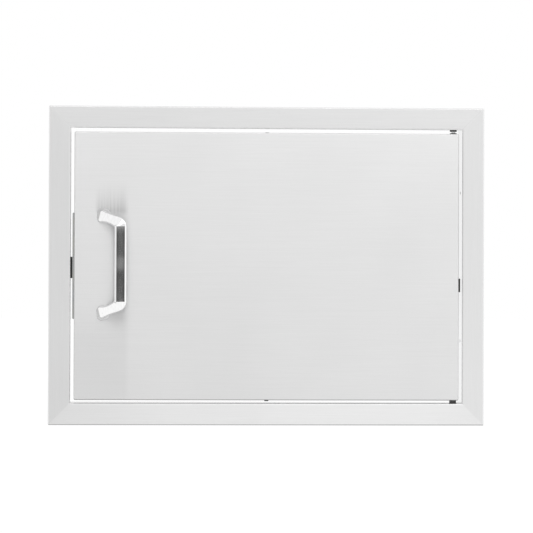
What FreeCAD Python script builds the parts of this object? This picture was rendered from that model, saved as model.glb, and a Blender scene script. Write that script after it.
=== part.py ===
import FreeCAD, Part
import math
import os

# Single-leaf access door for the side of an outdoor kitchen island.
# Lengths are in millimetres. X runs to the viewer's right, Y into the island, Z up.
# The origin is the centre of the door opening, in the plane of the island's face.

# Opening in the face frame
opening_width = 605.0
opening_height = 423.0

# Face frame, folded from sheet: a return to the island's face, a flange and a jamb
frame_sheet = 1.5
flange_width = 34.0
flange_stand = 12.0
jamb_depth = 50.0
frame_inner_bend = 2.5
frame_outer_bend = 2.0
frame_corner_radius = 2.0

# Screws through the jamb into the island
mount_hole_radius = 2.6
mount_hole_spacing = 230.0
mount_hole_depth = 14.0

# Door box, closed at the back by a liner
gap_side = 5.5
gap_top = 6.0
gap_bottom = 4.5
door_sheet = 1.2
door_depth = 20.0
door_bend = 1.8
door_corner_radius = 2.4
liner_sheet = 1.2
liner_flange = 6.0
liner_clearance = 0.1

# Hat channels between the two skins of the door
stiffener_sheet = 1.0
stiffener_crown = 26.0
stiffener_foot = 14.0
stiffener_spread = 230.0
stiffener_end_gap = 3.0

# Pivots on the hinge side
pivot_inset = 8.0
pivot_behind_face = 8.0
pin_radius = 3.0
running_clearance = 0.05
bushing_wall = 1.35
bushing_flange_radius = 5.4
bushing_hole_clearance = 0.1
face_gap = 0.3
pin_tip_chamfer = 0.8
lower_pin_height = 20.0
lower_pin_head_radius = 5.4
lower_pin_head_height = 1.8
lower_bushing_flange = 2.0
lower_bushing_length = 16.0
jamb_bushing_flange = 2.0
jamb_bushing_proud = 0.6
guide_bushing_flange = 1.5
guide_bushing_length = 6.0
upper_pin_proud = 1.2
upper_pin_travel = 7.5

# Brackets inside the door at the pivots
bracket_sheet = 1.5
bracket_bend = 2.5
bracket_reach = 13.0
bracket_front_gap = 0.8
bracket_depth = 11.8
upper_bracket_height = 41.0
lower_bracket_height = 30.0

# Collar, spring and finger tail on the upper pin
collar_radius = 4.8
collar_height = 2.2
collar_clearance = 0.02
spring_wire_radius = 0.4
spring_mean_radius = 4.1
spring_turns = 8
tail_drop = 16.0
tail_bend = 7.0
tail_proud = 15.0
tail_slot_clearance = 1.5

# Strike plate on the back of the door, and its rivets
strike_height = 164.0
strike_width = 30.0
strike_sheet = 1.5
strike_overhang = 3.0
strike_corner_radius = 1.5
rivet_radius = 1.6
rivet_head_radius = 3.2
rivet_head_height = 1.0
rivet_formed_radius = 2.5
rivet_fit = 0.05
rivet_line = 20.5
rivet_pitches = (28.0, 68.0)

# Magnetic catch on the left jamb
catch_height = 33.0
catch_centre_z = -3.2
catch_width = 16.0
catch_depth = 14.0
catch_edge_radius = 1.2
pole_sheet = 1.6
pole_height = 18.0
pole_depth = 10.5
pole_proud = 0.5
magnet_thickness = 5.0
magnet_recess = 0.4
catch_fit = 0.05
catch_screw_radius = 1.45
catch_screw_head_radius = 2.8
catch_screw_head_height = 1.8
catch_screw_past_jamb = 1.0
catch_screw_end = 3.6
catch_screw_clearance = 0.1

# Black pads on the edges of the door
pad_thickness = 1.5
pad_width = 6.0
pad_depth = 8.0
side_pad_length = 21.0
side_pad_centre_z = -28.8

# Bow handle: flat grip, and flat legs that lean from their round feet towards the hinge
handle_centres = 150.0
handle_above_middle = 2.25
handle_foot_inset = 46.0
handle_sweep = 25.0
handle_projection = 34.0
grip_width = 18.7
grip_thickness = 9.0
grip_corner = 2.7
grip_length = 116.0

# Feet of the handle: a low rim and a cone
foot_radius = 11.0
foot_rim = 1.0
foot_rim_round = 0.4
foot_height = 7.0
foot_top_radius = 6.5
foot_top_round = 1.0

# Legs of the handle, from where each would meet the door to the end of the grip
leg_root_back = 4.5
leg_root_up = 1.0
leg_root_across = 10.0
leg_root_drop = 3.0
leg_root_rise = 9.6
leg_grip_lead = 7.5
leg_grip_aside = 0.2
leg_root_width = 16.0
leg_root_thickness = 10.5
leg_root_corner = 5.2
leg_neck_width = 12.2
leg_neck = 0.38
leg_full = 0.88
leg_before = 0.08
leg_start = 1.0
leg_steps = 12
grip_steps = 14

# Screws that hold the handle from inside the door
handle_screw_radius = 2.4
handle_screw_clearance = 0.1
handle_screw_grip = 6.5
handle_screw_head_radius = 4.4
handle_screw_head_height = 3.0
handle_screw_head_round = 1.5
washer_radius = 6.0
washer_sheet = 1.0
backing_sheet = 1.5
backing_width = 30.0
backing_margin = 14.0
access_hole_radius = 8.0
plug_flange_radius = 10.0
plug_flange = 1.2
plug_flange_round = 0.6
plug_depth = 4.0
plug_wall = 1.2
plug_fit = 0.1

# Directions, how far a cut reaches past what it cuts, and how near counts as touching
ACROSS = FreeCAD.Vector(1, 0, 0)
DEPTH = FreeCAD.Vector(0, 1, 0)
UP = FreeCAD.Vector(0, 0, 1)
past = 1.0
touching = 1e-6

# Places that follow from the sizes above
half_width = opening_width / 2
half_height = opening_height / 2
frame_front = -flange_stand
door_left = -half_width + gap_side
door_right = half_width - gap_side
door_bottom = -half_height + gap_bottom
door_top = half_height - gap_top
door_front = frame_front
door_back = door_front + door_depth
skin_back = door_front + door_sheet
liner_front = door_back - liner_sheet
pivot_x = door_right - pivot_inset
pivot_y = door_front + pivot_behind_face
bushing_radius = pin_radius + running_clearance + bushing_wall
bushing_hole = bushing_radius + bushing_hole_clearance
handle_foot_x = door_left + handle_foot_inset
door_middle = (door_top + door_bottom) / 2
handle_z = door_middle + handle_above_middle
grip_y = door_front - handle_projection + grip_thickness / 2
strike_back = door_back + strike_sheet
pole_front = strike_back + face_gap
catch_front = pole_front + pole_proud
handle_screw_hole = handle_screw_radius + handle_screw_clearance
lower_ear = door_top - door_sheet - upper_bracket_height


def box(x0, x1, y0, y1, z0, z1):
    """Block between two corners."""
    return Part.makeBox(x1 - x0, y1 - y0, z1 - z0, FreeCAD.Vector(x0, y0, z0))


def rod(radius, start, end):
    """Round bar between two points."""
    way = end - start
    return Part.makeCylinder(radius, way.Length, start, way)


def upright(radius, z0, z1):
    """Round bar on the pivot axis between two heights."""
    return rod(radius, FreeCAD.Vector(pivot_x, pivot_y, z0), FreeCAD.Vector(pivot_x, pivot_y, z1))


def upright_hole(radius, z0, z1):
    """Cutting bar on the pivot axis that reaches past both heights."""
    return upright(radius, z0 - past, z1 + past)


def across(radius, z, y0, y1):
    """Round bar on the axis of a handle screw between two depths."""
    return rod(radius, FreeCAD.Vector(handle_foot_x, y0, z), FreeCAD.Vector(handle_foot_x, y1, z))


def across_hole(radius, z, y0, y1):
    """Cutting bar on the axis of a handle screw that reaches past both depths."""
    return across(radius, z, y0 - past, y1 + past)


def edges_along(shape, direction):
    """Straight edges of a shape that run along a direction."""
    found = []
    for edge in shape.Edges:
        if edge.Curve.TypeId != "Part::GeomLine":
            continue
        if edge.Curve.Direction.cross(direction).Length < touching:
            found.append(edge)
    return found


def edges_at(shape, direction, place):
    """Edges of a shape that end in the plane at one place along a direction."""
    found = []
    for edge in shape.Edges:
        if all(abs(vertex.Point.dot(direction) - place) < touching for vertex in edge.Vertexes):
            found.append(edge)
    return found


def rounded_block(x0, x1, y_flat, y_open, z0, z1, corner, bend):
    """Block with rounded corners and a rounded rim round its face at y_flat."""
    block = box(x0, x1, min(y_flat, y_open), max(y_flat, y_open), z0, z1)
    block = block.makeFillet(corner, edges_along(block, DEPTH))
    return block.makeFillet(bend, edges_at(block, DEPTH, y_flat))


def tray(x0, x1, y_flat, y_open, z0, z1, sheet):
    """Folded tray: a flat face at y_flat with returns all round that end at y_open."""
    inward = sheet if y_open > y_flat else -sheet
    outer = rounded_block(x0, x1, y_flat, y_open, z0, z1, door_corner_radius, door_bend)
    hollow = rounded_block(
        x0 + sheet,
        x1 - sheet,
        y_flat + inward,
        y_open + inward,
        z0 + sheet,
        z1 - sheet,
        door_corner_radius - sheet,
        door_bend - sheet,
    )
    return outer.cut(hollow)


def line(start, end):
    return Part.LineSegment(start, end).toShape()


def arc(start, middle, end):
    return Part.Arc(start, middle, end).toShape()


def bend_middle(centre, start, end):
    """Point half way round a quarter bend."""
    out = (start - centre) + (end - centre)
    return centre + out.normalize() * (start - centre).Length


def frame_profile(place):
    """Section of the face frame, from distance outwards from the opening and depth."""
    sheet = frame_sheet
    front = frame_front
    inner = frame_inner_bend
    outer = frame_outer_bend
    width = flange_width
    inner_centre = place(inner, front + inner)
    outer_centre = place(width - outer, front + outer)
    outside = [
        place(0, jamb_depth),
        place(0, front + inner),
        place(inner, front),
        place(width - outer, front),
        place(width, front + outer),
        place(width, 0),
    ]
    inside = [
        place(width - sheet, 0),
        place(width - sheet, front + outer),
        place(width - outer, front + sheet),
        place(inner, front + sheet),
        place(sheet, front + inner),
        place(sheet, jamb_depth),
    ]
    edges = [
        line(outside[0], outside[1]),
        arc(outside[1], bend_middle(inner_centre, outside[1], outside[2]), outside[2]),
        line(outside[2], outside[3]),
        arc(outside[3], bend_middle(outer_centre, outside[3], outside[4]), outside[4]),
        line(outside[4], outside[5]),
        line(outside[5], inside[0]),
        line(inside[0], inside[1]),
        arc(inside[1], bend_middle(outer_centre, inside[1], inside[2]), inside[2]),
        line(inside[2], inside[3]),
        arc(inside[3], bend_middle(inner_centre, inside[3], inside[4]), inside[4]),
        line(inside[4], inside[5]),
        line(inside[5], outside[0]),
    ]
    return Part.Face(Part.Wire(edges))


def frame_envelope():
    """Block that rounds the four outside corners of the frame."""
    x = half_width + flange_width
    z = half_height + flange_width
    block = box(-x, x, frame_front, jamb_depth, -z, z)
    return block.makeFillet(frame_corner_radius, edges_along(block, DEPTH))


def mitred(member, corners):
    """Cut a frame member to its mitres, which are lines between corners in the X-Z plane."""
    points = [FreeCAD.Vector(x, frame_front - past, z) for x, z in corners]
    wedge = Part.Face(Part.makePolygon(points + points[:1]))
    wedge = wedge.extrude(DEPTH * (jamb_depth - frame_front + 2 * past))
    return member.common(wedge).common(frame_envelope())


def frame_rail(side):
    """Top rail for side 1, bottom rail for side -1."""
    reach = half_width + flange_width
    inner = half_width - past

    def place(out, depth):
        return FreeCAD.Vector(-reach, depth, side * (half_height + out))

    rail = frame_profile(place).extrude(ACROSS * (2 * reach))
    near = side * (half_height - past)
    far = side * (half_height + flange_width)
    return mitred(rail, [(-inner, near), (inner, near), (reach, far), (-reach, far)])


def frame_stile(side):
    """Right stile for side 1, left stile for side -1, with the screw holes in its jamb."""
    reach = half_height + flange_width
    inner = half_height - past

    def place(out, depth):
        return FreeCAD.Vector(side * (half_width + out), depth, -reach)

    stile = frame_profile(place).extrude(UP * (2 * reach))
    near = side * (half_width - past)
    far = side * (half_width + flange_width)
    stile = mitred(stile, [(near, -inner), (near, inner), (far, reach), (far, -reach)])
    for z in (-mount_hole_spacing / 2, mount_hole_spacing / 2):
        inside = FreeCAD.Vector(near, mount_hole_depth, z)
        outside = FreeCAD.Vector(side * (half_width + frame_sheet + past), mount_hole_depth, z)
        stile = stile.cut(rod(mount_hole_radius, inside, outside))
    return stile


def catch_screw_lines():
    """Start on the room side and end past the jamb of each screw of the catch."""
    y = catch_front + catch_depth / 2
    reach = catch_height / 2 - catch_screw_end
    lines = []
    for z in (catch_centre_z - reach, catch_centre_z + reach):
        start = FreeCAD.Vector(-half_width + catch_width, y, z)
        end = FreeCAD.Vector(-half_width - frame_sheet - catch_screw_past_jamb, y, z)
        lines.append((start, end))
    return lines


def frame_rail_top():
    """Top rail, bored for the bushing of the upper pin."""
    return frame_rail(1).cut(upright_hole(bushing_hole, half_height, half_height + frame_sheet))


def frame_rail_bottom():
    """Bottom rail, bored for the fixed lower pin."""
    hole = pin_radius + bushing_hole_clearance
    return frame_rail(-1).cut(upright_hole(hole, -half_height - frame_sheet, -half_height))


def frame_stile_left():
    """Left stile, drilled for the screws of the magnetic catch."""
    stile = frame_stile(-1)
    for start, end in catch_screw_lines():
        stile = stile.cut(rod(catch_screw_radius + catch_fit, start, end))
    return stile


def frame_stile_right():
    return frame_stile(1)


def lower_pivot_pin():
    """Headed stud, riveted up through the bottom jamb."""
    under_jamb = -half_height - frame_sheet
    top = -half_height + lower_pin_height
    head = upright(lower_pin_head_radius, under_jamb - lower_pin_head_height, under_jamb)
    pin = head.fuse(upright(pin_radius, under_jamb, top))
    return bevelled_tip(pin, top)


def bevelled_tip(pin, top):
    """Bevel the round edge at the top of a pin."""
    return pin.makeChamfer(pin_tip_chamfer, edges_at(pin, UP, top))


def washer_on_pin(radius, z0, z1):
    """Ring that runs on a pivot pin."""
    return upright(radius, z0, z1).cut(upright_hole(pin_radius + running_clearance, z0, z1))


def lower_thrust_washer():
    """Ring on the bottom jamb that carries the door."""
    top = door_bottom - lower_bushing_flange - face_gap
    return washer_on_pin(bushing_flange_radius, -half_height, top)


def flanged_bushing(flange_z0, flange_z1, sleeve_z0, sleeve_z1):
    """Flange and sleeve in one, bored for a pivot pin."""
    ring = upright(bushing_flange_radius, flange_z0, flange_z1)
    sleeve = upright(bushing_radius, sleeve_z0, sleeve_z1)
    low = min(flange_z0, sleeve_z0)
    high = max(flange_z1, sleeve_z1)
    bore = upright_hole(pin_radius + running_clearance, low, high)
    return ring.fuse(sleeve).removeSplitter().cut(bore)


def lower_pivot_bushing():
    """Bushing in the bottom edge of the door, turning on the lower pin."""
    flange = door_bottom - lower_bushing_flange
    return flanged_bushing(flange, door_bottom, door_bottom, door_bottom + lower_bushing_length)


def upper_jamb_bushing():
    """Bushing in the top jamb that the upper pin springs into."""
    flange = half_height - jamb_bushing_flange
    top = half_height + frame_sheet + jamb_bushing_proud
    return flanged_bushing(flange, half_height, half_height, top)


def upper_guide_bushing():
    """Bushing in the top edge of the door that the upper pin slides in."""
    flange = door_top + guide_bushing_flange
    return flanged_bushing(door_top, flange, door_top - guide_bushing_length, door_top)


def hinge_bracket(side, height, ears):
    """Bracket on the hinge-side return, with its first ear against the top or bottom return."""
    wall_x = door_right - door_sheet
    end_z = (door_top if side > 0 else door_bottom) - side * door_sheet
    far_z = end_z - side * height
    y0 = skin_back + bracket_front_gap
    y1 = y0 + bracket_depth
    outer = box(wall_x - bracket_reach, wall_x, y0, y1, min(end_z, far_z), max(end_z, far_z))
    outer = outer.makeFillet(bracket_bend, bend_edges(outer, wall_x, [end_z, far_z][:ears]))
    near_end = end_z - side * bracket_sheet
    far_end = far_z + side * bracket_sheet if ears == 2 else far_z - side * past
    open_x = wall_x - bracket_reach - past
    low = min(near_end, far_end)
    high = max(near_end, far_end)
    inner = box(open_x, wall_x - bracket_sheet, y0 - past, y1 + past, low, high)
    bends = bend_edges(inner, wall_x - bracket_sheet, [near_end, far_end][:ears])
    return outer.cut(inner.makeFillet(bracket_bend - bracket_sheet, bends))


def bend_edges(block, x, heights):
    """Edges along Y at one x and any of the given heights."""
    found = []
    for edge in edges_along(block, DEPTH):
        at = edge.CenterOfMass
        if abs(at.x - x) < touching and any(abs(at.z - z) < touching for z in heights):
            found.append(edge)
    return found


def upper_hinge_bracket():
    """Two-eared bracket: the upper ear backs the guide bushing, the lower one holds the spring."""
    bracket = hinge_bracket(1, upper_bracket_height, 2)
    bracket = bracket.cut(upright(bushing_hole, door_top - guide_bushing_length, door_top))
    pin_hole = upright_hole(pin_radius + running_clearance, lower_ear, lower_ear + bracket_sheet)
    return bracket.cut(pin_hole)


def lower_hinge_bracket():
    """One-eared bracket that backs the lower bushing."""
    bracket = hinge_bracket(-1, lower_bracket_height, 1)
    return bracket.cut(upright(bushing_hole, door_bottom, door_bottom + lower_bushing_length))


def door_outer_panel():
    """Brushed face of the door with its four folded returns."""
    panel = tray(door_left, door_right, door_front, door_back, door_bottom, door_top, door_sheet)
    panel = panel.cut(upright_hole(bushing_hole, door_bottom, door_bottom + door_sheet))
    panel = panel.cut(upright_hole(bushing_hole, door_top - door_sheet, door_top))
    for z in handle_screw_heights():
        panel = panel.cut(across_hole(handle_screw_hole, z, door_front, skin_back))
    return panel


def handle_screw_heights():
    return (handle_z - handle_centres / 2, handle_z + handle_centres / 2)


def tail_height():
    """Height of the upper pin's finger tail at rest."""
    return lower_ear - tail_drop


def tail_slot():
    """Slot in the liner that the finger tail slides down."""
    reach = pin_radius + tail_slot_clearance
    y0 = liner_front - past
    y1 = door_back + past
    bottom = tail_height() - upper_pin_travel
    slot = box(pivot_x - reach, pivot_x + reach, y0, y1, bottom, tail_height())
    for z in (bottom, tail_height()):
        end = rod(reach, FreeCAD.Vector(pivot_x, y0, z), FreeCAD.Vector(pivot_x, y1, z))
        slot = slot.fuse(end)
    return slot.removeSplitter()


def rivet_places():
    """Centres of the strike plate's rivets on the back of the liner."""
    x = door_left - strike_overhang + rivet_line
    heights = [door_middle + side * pitch for side in (-1, 1) for pitch in rivet_pitches]
    return [FreeCAD.Vector(x, door_back, z) for z in heights]


def door_inner_panel():
    """Liner that closes the back of the door, with its flanges inside the door's returns."""
    inset = door_sheet + liner_clearance
    liner = tray(
        door_left + inset,
        door_right - inset,
        door_back,
        door_back - liner_flange,
        door_bottom + inset,
        door_top - inset,
        liner_sheet,
    )
    for z in handle_screw_heights():
        liner = liner.cut(across_hole(access_hole_radius, z, liner_front, door_back))
    for place in rivet_places():
        inside = place - DEPTH * (liner_sheet + past)
        liner = liner.cut(rod(rivet_radius + rivet_fit, inside, place + DEPTH * past))
    return liner.cut(tail_slot())


def door_stiffener(side):
    """Hat channel from the back of the face to the front of the liner."""
    x = side * stiffener_spread / 2
    z0 = door_bottom + door_sheet + stiffener_end_gap
    z1 = door_top - door_sheet - stiffener_end_gap
    sheet = stiffener_sheet
    crown = stiffener_crown / 2
    wide = crown + stiffener_foot
    bore = crown - sheet
    feet = box(x - wide, x + wide, skin_back, skin_back + sheet, z0, z1)
    body = box(x - crown, x + crown, skin_back, liner_front, z0, z1)
    hollow = box(x - bore, x + bore, skin_back - past, liner_front - sheet, z0 - past, z1 + past)
    return feet.fuse(body).removeSplitter().cut(hollow)


def upper_pivot_pin():
    """Sprung pin: up into the top jamb, and bent back at the bottom into a finger tail."""
    top = half_height + frame_sheet + upper_pin_proud
    tail = tail_height()
    turn = FreeCAD.Vector(pivot_x, pivot_y + tail_bend, tail + tail_bend)
    start = FreeCAD.Vector(pivot_x, pivot_y, top)
    down = FreeCAD.Vector(pivot_x, pivot_y, tail + tail_bend)
    back = FreeCAD.Vector(pivot_x, pivot_y + tail_bend, tail)
    end = FreeCAD.Vector(pivot_x, door_back + tail_proud, tail)
    bend = arc(down, bend_middle(turn, down, back), back)
    path = Part.Wire([line(start, down), bend, line(back, end)])
    ring = Part.Wire(Part.Circle(start, UP, pin_radius).toShape())
    pin = path.makePipeShell([ring], True, False)
    return bevelled_tip(pin, top)


def collar_top():
    """Height of the collar at rest, just under the guide bushing."""
    return door_top - guide_bushing_length - face_gap


def upper_pin_collar():
    """Retaining ring that the spring pushes up."""
    top = collar_top()
    ring = upright(collar_radius, top - collar_height, top)
    return ring.cut(upright_hole(pin_radius + collar_clearance, top - collar_height, top))


def tangent_arc(start, corner, end):
    """Arc that leaves its start and reaches its end along the two legs of a corner."""
    middle = (start + end) * 0.5
    half_chord = (end - start).Length / 2
    toward = corner - middle
    half_turn = math.atan2(toward.Length, half_chord)
    return arc(start, middle + toward.normalize() * (half_chord * math.tan(half_turn / 2)), end)


def biarc(start, start_way, end, end_way):
    """Two arcs that join two points and keep the direction given at each."""
    gap = end - start
    ways = start_way + end_way
    turned = 2 * (1 - start_way.dot(end_way))
    reach = (math.sqrt(gap.dot(ways) ** 2 + turned * gap.dot(gap)) - gap.dot(ways)) / turned
    middle = (start + end + (start_way - end_way) * reach) * 0.5
    first = tangent_arc(start, start + start_way * reach, middle)
    return [first, tangent_arc(middle, end - end_way * reach, end)]


def print_least_gap(places):
    """Print the least gap between the spring's turns, measured between points a turn or so apart."""
    least = min(
        (places[late] - places[early]).Length
        for early in range(len(places))
        for late in range(early + 3, len(places))
    )
    print("least gap between the turns of the spring", round(least - 2 * spring_wire_radius, 2))


def upper_pin_spring():
    """Coil between the bracket's lower ear and the collar, in quarter turns."""
    low = lower_ear + bracket_sheet + spring_wire_radius
    high = collar_top() - collar_height - spring_wire_radius
    quarters = 4 * spring_turns
    climb = (high - low) / quarters
    places = []
    ways = []
    for quarter in range(quarters + 1):
        turn = quarter * math.pi / 2
        out = ACROSS * math.cos(turn) + DEPTH * math.sin(turn)
        way = DEPTH * math.cos(turn) - ACROSS * math.sin(turn)
        centre = FreeCAD.Vector(pivot_x, pivot_y, low + climb * quarter)
        places.append(centre + out * spring_mean_radius)
        ways.append((way + UP * (climb / (math.pi / 2 * spring_mean_radius))).normalize())
    print_least_gap(places)
    edges = []
    for quarter in range(quarters):
        near = (places[quarter], ways[quarter])
        far = (places[quarter + 1], ways[quarter + 1])
        edges.extend(biarc(*near, *far))
    ring = Part.Circle(places[0], ways[0], spring_wire_radius)
    return Part.Wire(edges).makePipeShell([Part.Wire(ring.toShape())], True, False)


def strike_plate():
    """Steel strip on the back of the door that the magnet holds."""
    left = door_left - strike_overhang
    plate = box(
        left,
        left + strike_width,
        door_back,
        strike_back,
        door_middle - strike_height / 2,
        door_middle + strike_height / 2,
    )
    plate = plate.makeFillet(strike_corner_radius, edges_along(plate, DEPTH))
    for place in rivet_places():
        outside = place + DEPTH * (strike_sheet + past)
        plate = plate.cut(rod(rivet_radius + rivet_fit, place, outside))
    return plate


def strike_plate_rivets():
    """Blind rivets through the strike plate and the liner."""
    rivets = []
    for place in rivet_places():
        inner_face = place - DEPTH * liner_sheet
        inner_end = inner_face - DEPTH * rivet_head_height
        head_base = place + DEPTH * strike_sheet
        head_end = head_base + DEPTH * rivet_head_height
        rivet = rod(rivet_radius, inner_end, head_end)
        rivet = rivet.fuse(rod(rivet_head_radius, head_base, head_end))
        rivet = rivet.fuse(rod(rivet_formed_radius, inner_end, inner_face))
        rivets.append(rivet.removeSplitter())
    return rivets


def catch_stack():
    """Left edge of the first pole plate, with the pole plates and magnet side by side."""
    return -half_width + (catch_width - magnet_thickness) / 2 - pole_sheet


def magnet_catch_housing():
    """Moulded housing screwed to the left jamb, open to the front."""
    y0 = catch_front
    y1 = catch_front + catch_depth
    z0 = catch_centre_z - catch_height / 2
    z1 = catch_centre_z + catch_height / 2
    housing = box(-half_width, -half_width + catch_width, y0, y1, z0, z1)
    rims = [edge for edge in housing.Edges if edge.CenterOfMass.x > past - half_width]
    housing = housing.makeFillet(catch_edge_radius, rims)
    left = catch_stack() - catch_fit
    right = catch_stack() + 2 * pole_sheet + magnet_thickness + catch_fit
    reach = pole_height / 2 + catch_fit
    pocket_back = pole_front + pole_depth
    low = catch_centre_z - reach
    high = catch_centre_z + reach
    housing = housing.cut(box(left, right, y0 - past, pocket_back, low, high))
    for start, end in catch_screw_lines():
        sunk = ACROSS * catch_screw_head_height
        sink = rod(catch_screw_head_radius + catch_screw_clearance, start - sunk, start + sunk)
        housing = housing.cut(rod(catch_screw_radius + catch_screw_clearance, start, end))
        housing = housing.cut(sink)
    return housing


def magnet_catch_magnet():
    """Ferrite block between the pole plates."""
    left = catch_stack() + pole_sheet
    front = catch_front + magnet_recess
    back = pole_front + pole_depth
    low = catch_centre_z - pole_height / 2
    return box(left, left + magnet_thickness, front, back, low, low + pole_height)


def magnet_catch_poles():
    """Two steel plates that carry the pull to the strike plate."""
    back = pole_front + pole_depth
    low = catch_centre_z - pole_height / 2
    poles = []
    for left in (catch_stack(), catch_stack() + pole_sheet + magnet_thickness):
        poles.append(box(left, left + pole_sheet, pole_front, back, low, low + pole_height))
    return poles


def magnet_catch_screws():
    """Two screws through the housing into the jamb."""
    screws = []
    for start, end in catch_screw_lines():
        seat = start - ACROSS * catch_screw_head_height
        head = rod(catch_screw_head_radius, seat, start)
        screws.append(head.fuse(rod(catch_screw_radius, seat, end)).removeSplitter())
    return screws


def door_edge_pads():
    """Black pads on the top, bottom and hinge-side edges of the door."""
    y0 = pivot_y
    y1 = pivot_y + pad_depth
    half = pad_width / 2
    top = box(-half, half, y0, y1, door_top, door_top + pad_thickness)
    bottom = box(-half, half, y0, y1, door_bottom - pad_thickness, door_bottom)
    z0 = side_pad_centre_z - side_pad_length / 2
    side = box(door_right, door_right + pad_thickness, y0, y1, z0, z0 + side_pad_length)
    return [top, bottom, side]


def section(centre, wide, front, width, thickness, corner):
    """Rounded outline across the handle, with flats between its four corners."""
    flat_u = width / 2 - corner
    flat_v = thickness / 2 - corner
    quarters = [(1, 1), (-1, 1), (-1, -1), (1, -1)]
    arcs = []
    for turn, (u, v) in enumerate(quarters):
        middle = centre + wide * (u * flat_u) + front * (v * flat_v)
        across_u = middle + wide * (u * corner)
        across_v = middle + front * (v * corner)
        ends = (across_u, across_v) if turn % 2 == 0 else (across_v, across_u)
        arcs.append((ends[0], bend_middle(middle, ends[0], ends[1]), ends[1]))
    edges = []
    for turn, (start, half_way, end) in enumerate(arcs):
        edges.append(arc(start, half_way, end))
        edges.append(line(end, arcs[(turn + 1) % 4][0]))
    return Part.Wire(edges)


def eased(share):
    """Share from 0 to 1 that starts and ends level."""
    share = min(max(share, 0), 1)
    return share * share * (3 - 2 * share)


def leg_width(t):
    """Width of a leg: it narrows from the foot to a neck, then widens to the grip."""
    if t < leg_neck:
        return leg_neck_width + (leg_root_width - leg_neck_width) * (1 - max(t, 0) / leg_neck) ** 2
    return leg_neck_width + (grip_width - leg_neck_width) * eased((t - leg_neck) / (leg_full - leg_neck))


def leg_path(side):
    """Control points of a leg's middle line, from under its foot to the end of the grip."""
    foot = FreeCAD.Vector(handle_foot_x, door_front, handle_z + side * handle_centres / 2)
    grip = FreeCAD.Vector(handle_foot_x + handle_sweep, grip_y, handle_z + side * grip_length / 2)
    root = foot - ACROSS * leg_root_back + UP * (side * leg_root_up)
    lean = ACROSS * leg_root_across - UP * (side * leg_root_drop) - DEPTH * leg_root_rise
    return [root, root + lean, grip + UP * (side * leg_grip_lead) - ACROSS * leg_grip_aside, grip]


def leg_sections(side):
    """Outlines from inside a foot to the end of the grip."""
    control = leg_path(side)
    sections = []
    for step in range(leg_steps + 1):
        t = (1 + leg_before) * step / leg_steps - leg_before
        s = 1 - t
        centre = control[0] * s**3 + control[1] * (3 * s * s * t)
        centre = centre + control[2] * (3 * s * t * t) + control[3] * t**3
        along = (control[1] - control[0]) * (s * s) + (control[2] - control[1]) * (2 * s * t)
        along = along + (control[3] - control[2]) * (t * t)
        along.normalize()
        level = along - DEPTH * along.y
        lean = level.Length
        level.normalize()
        front = level * along.y - DEPTH * lean
        wide = DEPTH.cross(level) * side
        thickness = grip_thickness + (leg_root_thickness - grip_thickness) * s * s
        sharper = max(1 - max(t, 0) / leg_neck, 0) ** 2
        corner = grip_corner + (leg_root_corner - grip_corner) * sharper
        sections.append(section(centre, wide, front, leg_width(t), thickness, corner))
    return sections


def grip_sections():
    """Outlines down the straight grip, between its two ends."""
    sections = []
    for step in range(1, grip_steps):
        z = handle_z + grip_length / 2 - grip_length * step / grip_steps
        centre = FreeCAD.Vector(handle_foot_x + handle_sweep, grip_y, z)
        sections.append(section(centre, -ACROSS, -DEPTH, grip_width, grip_thickness, grip_corner))
    return sections


def handle_foot(z):
    """Round foot: a low rim, and a cone that the leg grows out of."""
    rim = door_front - foot_rim
    top = door_front - foot_height
    base = FreeCAD.Vector(handle_foot_x, rim, z)
    cone = Part.makeCone(foot_radius, foot_top_radius, foot_height - foot_rim, base, -DEPTH)
    foot = across(foot_radius, z, rim, door_front).fuse(cone).removeSplitter()
    foot = foot.makeFillet(foot_rim_round, edges_at(foot, DEPTH, rim))
    return foot.makeFillet(foot_top_round, edges_at(foot, DEPTH, top))


def handle():
    """Bow handle, cast in one piece, with a tapped hole in each foot."""
    outlines = leg_sections(1) + grip_sections() + leg_sections(-1)[::-1]
    bow = Part.makeLoft(outlines, True, False)
    under_legs = box(
        handle_foot_x - handle_sweep,
        handle_foot_x + handle_sweep,
        door_front - leg_start,
        door_back,
        handle_z - handle_centres,
        handle_z + handle_centres,
    )
    bow = bow.cut(under_legs).fuse([handle_foot(z) for z in handle_screw_heights()])
    for z in handle_screw_heights():
        bow = bow.cut(across_hole(handle_screw_hole, z, door_front - handle_screw_grip, door_front))
    return bow


def handle_backing_plate():
    """Plate behind the face that spreads the pull of the handle."""
    reach = handle_centres / 2 + backing_margin
    plate = box(
        handle_foot_x - backing_width / 2,
        handle_foot_x + backing_width / 2,
        skin_back,
        skin_back + backing_sheet,
        handle_z - reach,
        handle_z + reach,
    )
    for z in handle_screw_heights():
        plate = plate.cut(across_hole(handle_screw_hole, z, skin_back, skin_back + backing_sheet))
    return plate


def handle_washers():
    """Spring washers under the heads of the handle screws."""
    seat = skin_back + backing_sheet
    washers = []
    for z in handle_screw_heights():
        ring = across(washer_radius, z, seat, seat + washer_sheet)
        washers.append(ring.cut(across_hole(handle_screw_hole, z, seat, seat + washer_sheet)))
    return washers


def handle_screws():
    """Pan-head screws from inside the door into the feet of the handle."""
    seat = skin_back + backing_sheet + washer_sheet
    screws = []
    for z in handle_screw_heights():
        crown = seat + handle_screw_head_height
        head = across(handle_screw_head_radius, z, seat, crown)
        head = head.makeFillet(handle_screw_head_round, edges_at(head, DEPTH, crown))
        shank = across(handle_screw_radius, z, door_front - handle_screw_grip, seat)
        screws.append(head.fuse(shank).removeSplitter())
    return screws


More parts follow.
